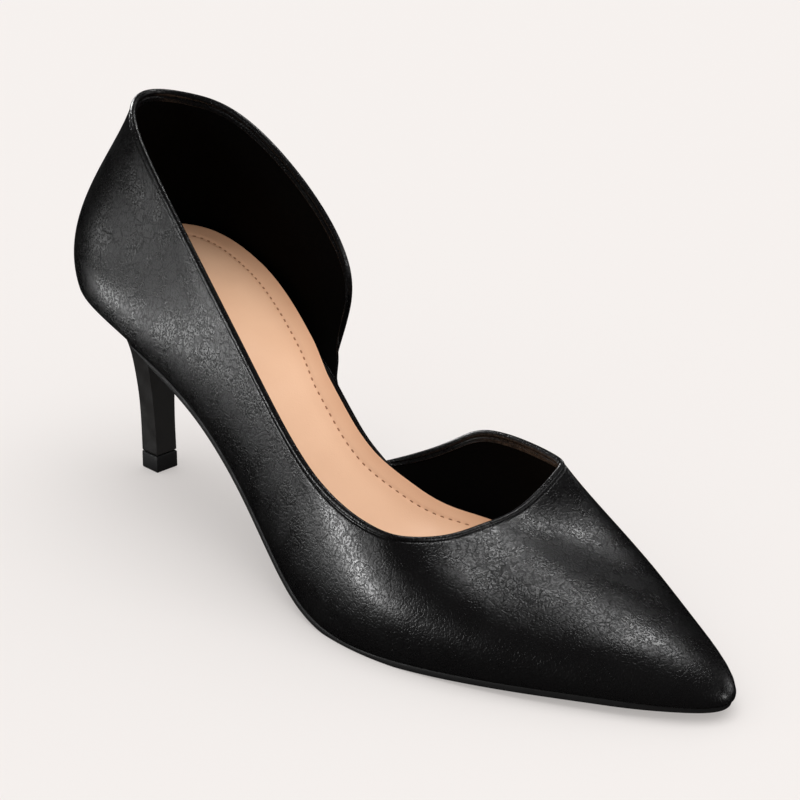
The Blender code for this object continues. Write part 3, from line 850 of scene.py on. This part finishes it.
        # A stitch is a ring carried along its length: thick in the middle, closed and sunk at both ends.
        step = np.linspace(-1, 1, 7)
        girth = 0.27 * MM * np.sqrt(np.clip(1 - step**4, 0.02, 1))
        sink = 0.05 * MM - 0.34 * MM * step**4
        centre = at(where)[:, None] + ahead[:, None] * (step * half)[None, :, None]
        centre = centre + above[:, None] * sink[None, :, None]
        ring = beside[:, None, None] * np.cos(turn)[None, None, :, None]
        ring = ring + 0.8 * above[:, None, None] * np.sin(turn)[None, None, :, None]
        points = centre[:, :, None] + ring * girth[None, :, None, None]
        skin = tube_faces(len(step), len(turn))
        one = np.array([face for face in skin if len(face) == 4])
        caps = np.array([face for face in skin if len(face) > 4])
        shift = np.arange(len(where))[:, None, None] * len(step) * len(turn)
        faces = (one + shift).reshape(-1, 4).tolist() + (caps + shift).reshape(-1, len(turn)).tolist()
        add_piece("sock_stitches", points, faces, sewing_thread("sock_thread", colours.thread))


class PUMP_OT_outsole(bpy.types.Operator):
    """Build the thin outsole, set in a little under the toe"""

    bl_idname = "pump.outsole"
    bl_label = "Outsole"

    def execute(self, context):
        sizes, colours, last = given(context)
        places = np.linspace(last.round[0], last.round[-1], 1400, endpoint=False)
        foot, outward = last.foot_line(places)
        share = foot[:, 0] / sizes.length
        inset = sizes.sole_inset * smooth((share - 0.9) / 0.08)
        outline = foot[:, :2] - inset[:, None] * outward
        start = sizes.breast + sizes.gap
        edges, toward = rung_edges(outline, start, 2 * sizes.length, (0, 14 * MM), 420, True)
        inner = [(2.5 * MM, share, 0) for share in np.linspace(1, 0, 10)]
        # Inset in millimetres, and share of the thickness below the top
        edge = [
            (1.4, 0), (0.7, 0), (0.3, 0.03), (0.1, 0.12), (0.0, 0.28), (0.0, 0.5), (0.0, 0.7), (0.1, 0.88),
            (0.32, 0.98), (0.8, 1.0), (1.6, 1.0),
        ]
        half = inner + [(inset * MM, 0, level) for inset, level in edge]
        half += [(2.5 * MM, share, 1) for share in np.linspace(0, 1, 12)]

        def shape(along, across, reach, layer):
            top = last.edge_height(along, across) - sizes.gap
            # The sole is skived thinner over its last 14 mm, towards the heel's breast.
            skived = 0.4 + 0.6 * smooth((along - start) / (14 * MM))
            under = np.maximum(top - sizes.outsole * last.upright(along) * skived, 0)
            return top + (under - top) * layer, reach

        points, faces, _ = plate(last, edges, toward, half, shape, False, True)
        add_piece("outsole", points, faces, rubber("sole_rubber", colours.rubber), ["outsole"])
        return {"FINISHED"}


def rounded_u(front, back, front_half, back_half, corner, counts):
    """Heel section: its curve back along the outside, round two corners and forward along the inside, and the
    same curve closed over the breast."""
    side, bend, breast = counts
    turn = np.linspace(0, math.pi / 2, bend)
    outside = np.linspace([front, -front_half], [back + corner, -back_half], side, endpoint=False)
    corner_points = np.column_stack([
        back + corner - corner * np.sin(turn), -back_half + corner - corner * np.cos(turn)
    ])
    across_back = np.linspace(corner_points[-1], [back, 0], 5)[1:]
    half = np.vstack([outside, corner_points, across_back])
    curve = np.vstack([half, half[:-1][::-1] * (1, -1)])
    across_front = np.linspace(curve[-1], curve[0], breast)[1:-1]
    return curve, np.vstack([curve, across_front])


class PUMP_OT_heel(bpy.types.Operator):
    """Build the covered heel and its top piece"""

    bl_idname = "pump.heel"
    bl_label = "Heel and top piece"

    def execute(self, context):
        sizes, colours, last = given(context)
        # The heel's lighter colour holds a painted reflection of the floor over its black leather.
        leather = smooth_leather("heel_leather_with_painted_reflection", colours.heel, 0.34)
        self.heel(last, sizes, leather)
        self.top_piece(last, sizes, rubber("top_piece_rubber", colours.rubber))
        return {"FINISHED"}

    def heel(self, last, sizes, material):
        """Sections by a spline over the height through the table's rows, blended into the seat's outline."""
        counts = (14, 8, 19)
        corner = 1.0 * MM
        rows = np.array(HEEL_ROWS) * MM
        through = cubic_spline(rows[:, 0], rows[:, 1:], closed=False)
        # The tip's edge is eased over the first three sections.
        tip = rows[0, 0] + np.array([0.0, 0.12, 0.3]) * MM
        heights = np.concatenate([tip, np.linspace(6.8 * MM, rows[-1, 0], 64)])
        inset = np.concatenate([[0.35 * MM, 0.1 * MM, 0.0], np.zeros(64)])
        rings = []
        for height, shrink, values in zip(heights, inset, through(heights)):
            front, back, front_half, back_half = values
            sides = (front - shrink, back + shrink, front_half - shrink, back_half - shrink)
            curve, ring = rounded_u(*sides, corner, counts)
            rings.append(np.column_stack([ring, np.full(len(ring), height)]))
        # The seat's ring runs just inside the foot line, from the breast's outer end round the back to its
        # inner end.
        places = np.linspace(last.round[0], last.round[-1], 2400)
        foot, outward = last.foot_line(places)
        seat_inset = 0.8 * MM
        edge = foot[:, :2] - seat_inset * outward
        middle = last.round[len(WALL_ROWS) // 2]
        seat = edge[(edge[:, 0] < sizes.breast) & (places < middle)]
        seat = seat if seat[0, 1] < 0 else seat[::-1]
        run = run_along(seat)
        spread = np.linspace(0, run[-1], len(curve))
        curve = np.column_stack([np.interp(spread, run, seat[:, 0]), np.interp(spread, run, seat[:, 1])])
        plan = np.vstack([curve, np.linspace(curve[-1], curve[0], counts[2])[1:-1]])
        seat_ring = last.lifted(plan, sizes.gap)
        # Between the highest section and the seat the skin follows a curve that leaves upwards along the
        # section's own flare and arrives under the seat's edge.
        first, second = rings[-2], rings[-1]
        flare = (second - first) / (second - first)[:, 2:]
        rise = seat_ring[:, 2:] - second[:, 2:]
        leave_share = 0.38
        arrive_share = (0.28, 0.28, 0.1)
        arrive_drop = (0, 0, 1.2 * MM)
        leave = second + flare * rise * leave_share
        arrive = seat_ring - (seat_ring - second) * arrive_share - arrive_drop
        for share in np.linspace(0, 1, 14)[1:-1]:
            rings.append(bezier(second, leave, arrive, seat_ring, share))
        rings.append(seat_ring)
        centre = plan.mean(axis=0)
        for scale in (0.98, 0.75, 0.5, 0.25, 0.08):
            rings.append(last.lifted(centre + scale * (plan - centre), sizes.gap))
        points = last.place(np.array(rings))
        add_piece("heel_cover", points, tube_faces(*points.shape[:2]), material, ["heel"])

    def top_piece(self, last, sizes, material):
        """A straight block with eased edges, a little wider than the heel's tip."""
        front, back, front_half, back_half = np.array(HEEL_ROWS[0][1:]) * MM
        top = sizes.top_piece - sizes.gap
        corner = 1.2 * MM
        counts = (10, 8, 11)
        rings = []
        for height, grow in TOP_PIECE_ROWS:
            grow *= MM
            sides = (front + grow, back - grow, front_half + grow, back_half + grow)
            _, ring = rounded_u(*sides, corner, counts)
            rings.append(np.column_stack([ring, np.full(len(ring), min(height * MM, top))]))
        points = last.place(np.array(rings))
        add_piece("top_piece", points, tube_faces(*points.shape[:2]), material, ["top_piece"])


def stand(context, data, axes, place):
    """A new object for a lamp or a camera, at this place, with its own three axes turned to these."""
    made = bpy.data.objects.new(data.name, data)
    context.scene.collection.objects.link(made)
    turned = np.eye(4)
    turned[:3, :3] = np.column_stack(axes)
    turned[:3, 3] = place
    made.matrix_world = turned.T.tolist()
    return made


class PUMP_OT_stage(bpy.types.Operator):
    """Build the floor, the lights and the camera"""

    bl_idname = "pump.stage"
    bl_label = "Floor, lights and camera"

    def execute(self, context):
        _, colours, last = given(context)
        self.floor(colours)
        self.lights(context)
        self.camera(context, last)
        context.scene.view_settings.view_transform = "Standard"
        return {"FINISHED"}

    def floor(self, colours):
        """A wide pale sheet at z = 0, which glows a little so that the shadows on it stay light."""
        finish = Finish("floor_paper", colours.floor, 0.9, {
            "Specular IOR Level": 0.0, "Emission Color": (*colours.glow, 1), "Emission Strength": 1.0,
        })
        finish.bump(finish.noise(2 * MM, 2.0), 0.01 * MM)
        reach = np.linspace(-6, 6, 25)
        across, along = np.meshgrid(reach, reach, indexing="ij")
        index = np.arange(across.size).reshape(across.shape)
        mesh = bpy.data.meshes.new("floor")
        points = np.stack([across, along, 0 * across], axis=-1).reshape(-1, 3)
        mesh.from_pydata(points, [], grid_quads(index).tolist())
        mesh.materials.append(finish.material)
        floor = bpy.data.objects.new("floor", mesh)
        bpy.context.scene.collection.objects.link(floor)
        floor.visible_glossy = False

    def lights(self, context):
        """A wide high sun for an even floor, and soft panels that only the gloss picks up."""
        world = bpy.data.worlds.new("studio")
        world.use_nodes = True
        background = world.node_tree.nodes["Background"]
        background.inputs["Color"].default_value = (1, 0.965, 0.945, 1)
        background.inputs["Strength"].default_value = 0.8
        context.scene.world = world
        world.cycles_visibility.glossy = False
        self.sun(context)
        for place, sides, watts in PANELS:
            self.panel(context, place, sides, watts)

    def sun(self, context):
        """A distant lamp, 60 degrees wide, that shines from nearly overhead."""
        lamp = bpy.data.lights.new("key_sun", "SUN")
        lamp.energy = 1.3
        lamp.angle = math.radians(60)
        lamp.color = (1, 0.99, 0.98)
        holder = self.aim(context, lamp, (0.0, -0.05, 1))
        holder.visible_glossy = False

    def panel(self, context, place, sides, watts):
        """A soft panel, turned to the shoe. It lights no matte surface, and the camera doesn't see it."""
        lamp = bpy.data.lights.new("panel", "AREA")
        lamp.shape = "RECTANGLE"
        lamp.size, lamp.size_y = sides
        lamp.energy = watts
        holder = self.aim(context, lamp, place)
        holder.visible_diffuse = False
        holder.visible_camera = False

    def aim(self, context, lamp, place):
        """Puts the lamp at this place, with its beam to the middle of the shoe."""
        back = unit(np.subtract(place, LIT_POINT))
        right = unit(np.cross((0, 0, 1), back))
        return stand(context, lamp, (right, np.cross(back, right), back), place)

    def camera(self, context, last):
        """The photograph's view: azimuth, elevation and roll in degrees, and its place on the last's axes."""
        azimuth, elevation, roll = np.radians(VIEW_ANGLES)
        level = math.cos(elevation)
        back = np.array([math.sin(azimuth) * level, -math.cos(azimuth) * level, math.sin(elevation)])
        right = np.array([math.cos(azimuth), math.sin(azimuth), 0])
        up = np.cross(back, right)
        rolled_right = math.cos(roll) * right + math.sin(roll) * up
        rolled_up = math.cos(roll) * up - math.sin(roll) * right
        data = bpy.data.cameras.new("camera")
        data.sensor_width = SENSOR
        data.lens = LENS
        data.clip_end = 20
        axes = (rolled_right, rolled_up, back)
        context.scene.camera = stand(context, data, axes, last.place(VIEWPOINT))


class PUMP_PT_panel(bpy.types.Panel):
    """Sizes, colours and the steps that build the pump"""

    bl_idname = "PUMP_PT_panel"
    bl_label = "Half d'Orsay pump"
    bl_space_type = "VIEW_3D"
    bl_region_type = "UI"
    bl_category = "Pump"

    def draw(self, context):
        for group in (context.scene.pump_sizes, context.scene.pump_colours):
            box = self.layout.box()
            for name in group.__annotations__:
                box.prop(group, name)
        for step in STEPS:
            self.layout.operator(step.bl_idname)


STEPS = (PUMP_OT_upper, PUMP_OT_insole, PUMP_OT_outsole, PUMP_OT_heel, PUMP_OT_stage)
CLASSES = (PumpSizes, PumpColours, *STEPS, PUMP_PT_panel)


def register():
    for item in CLASSES:
        bpy.utils.register_class(item)
    bpy.types.Scene.pump_sizes = PointerProperty(type=PumpSizes)
    bpy.types.Scene.pump_colours = PointerProperty(type=PumpColours)


def unregister():
    del bpy.types.Scene.pump_colours
    del bpy.types.Scene.pump_sizes
    for item in reversed(CLASSES):
        bpy.utils.unregister_class(item)


def main():
    """Builds the pump and its stage."""
    register()
    bpy.ops.pump.upper()
    bpy.ops.pump.insole()
    bpy.ops.pump.outsole()
    bpy.ops.pump.heel()
    bpy.ops.pump.stage()


if __name__ == "__main__":
    main()
